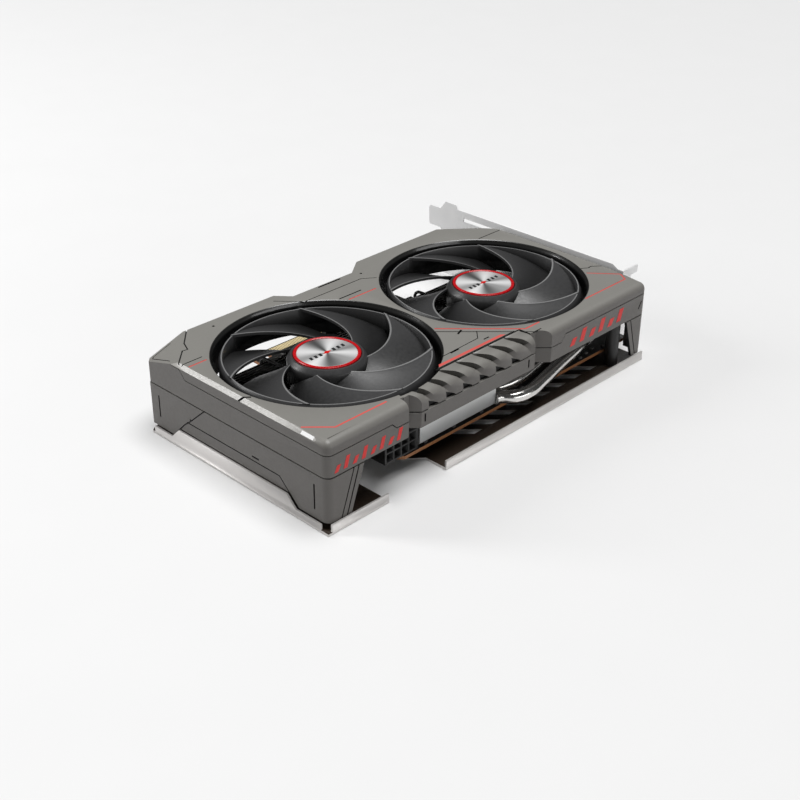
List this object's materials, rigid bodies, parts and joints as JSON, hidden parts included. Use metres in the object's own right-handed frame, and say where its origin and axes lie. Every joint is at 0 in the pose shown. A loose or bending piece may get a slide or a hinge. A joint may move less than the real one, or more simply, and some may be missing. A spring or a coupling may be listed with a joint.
{
  "type": "dual-fan graphics card",
  "caption": "Desktop graphics card: ringed axial fans in an angular plastic cover over a finned cooler, with a metal backplate, slotted bracket and card-edge connector.",
  "frame": {"origin": "centre of the bounding box in plan, on the plane of the backplate's underside", "axes": "+X from the tail face to the bracket, +Y from the open long side to the edge fingers, +Z from the backplate to the fans"},
  "size_m": [0.2102, 0.1364, 0.0417],
  "materials": {
    "cover_plastic": "moulded plastic with a satin warm-grey coat",
    "fan_plastic": "satin black moulded plastic",
    "red_plastic": "red gloss ring",
    "spun_metal": "spun face with radial highlights",
    "silver_metal": "silver-grey coated sheet",
    "bracket_steel": "satin plated steel",
    "fin_aluminium": "plain sheet fins",
    "nickel_pipe": "nickel-plated heat pipe",
    "copper": "bare copper",
    "board": "black solder mask on glass-fibre board",
    "black_plastic": "black connector plastic",
    "chip": "moulded chip package",
    "connector_steel": "plated connector steel",
    "choke_grey": "sintered ferrite",
    "lead_black": "black wire insulation"
  },
  "bodies": {
    "card": {"cover": "cover_plastic", "rib_strip": "cover_plastic", "side_band_left": "cover_plastic", "side_band_middle": "cover_plastic", "side_band_right": "cover_plastic", "tail_skirt": "cover_plastic", "bracket_leg": "cover_plastic", "stator_left": "copper", "fan_frame_left": "fan_plastic", "fan_lead_left": "lead_black", "fan_header_left": "black_plastic", "stator_right": "copper", "fan_frame_right": "fan_plastic", "fan_lead_right": "lead_black", "fan_header_right": "black_plastic", "fin_stack_tail": "fin_aluminium", "fin_stack_end": "fin_aluminium", "fin_stack_main": "fin_aluminium", "cold_plate": "copper", "heat_pipe_1": "nickel_pipe", "heat_pipe_2": "nickel_pipe", "circuit_board": "board", "gpu_package": "chip", "gpu_die": "chip", "memory_1": "chip", "memory_2": "chip", "memory_3": "chip", "memory_4": "chip", "memory_5": "chip", "memory_6": "chip", "choke_1": "choke_grey", "choke_2": "choke_grey", "choke_3": "choke_grey", "choke_4": "choke_grey", "capacitor_1": "connector_steel", "capacitor_2": "connector_steel", "capacitor_3": "connector_steel", "power_socket": "black_plastic", "port_1": "connector_steel", "port_2": "connector_steel", "port_3": "connector_steel", "port_4": "connector_steel", "bracket": "bracket_steel", "bracket_screw_1": "connector_steel", "bracket_screw_2": "connector_steel", "backplate": "silver_metal", "gpu_screw_1": "connector_steel", "gpu_screw_2": "connector_steel", "gpu_screw_3": "connector_steel", "gpu_screw_4": "connector_steel", "cover_post": "black_plastic"},
    "fan_left": {"rotor_left": "fan_plastic", "hub_cap_left": "spun_metal", "hub_ring_left": "red_plastic"},
    "fan_right": {"rotor_right": "fan_plastic", "hub_cap_right": "spun_metal", "hub_ring_right": "red_plastic"}
  },
  "joints": [
    {"name": "fan_left_spin", "type": "hinge", "parent": "card", "child": "fan_left", "pos_m": [-0.05392, -0.01366, 0.03], "axis": [0, 0, 1], "continuous": true},
    {"name": "fan_right_spin", "type": "hinge", "parent": "card", "child": "fan_right", "pos_m": [0.04128, -0.01366, 0.03], "axis": [0, 0, 1], "continuous": true}
  ]
}
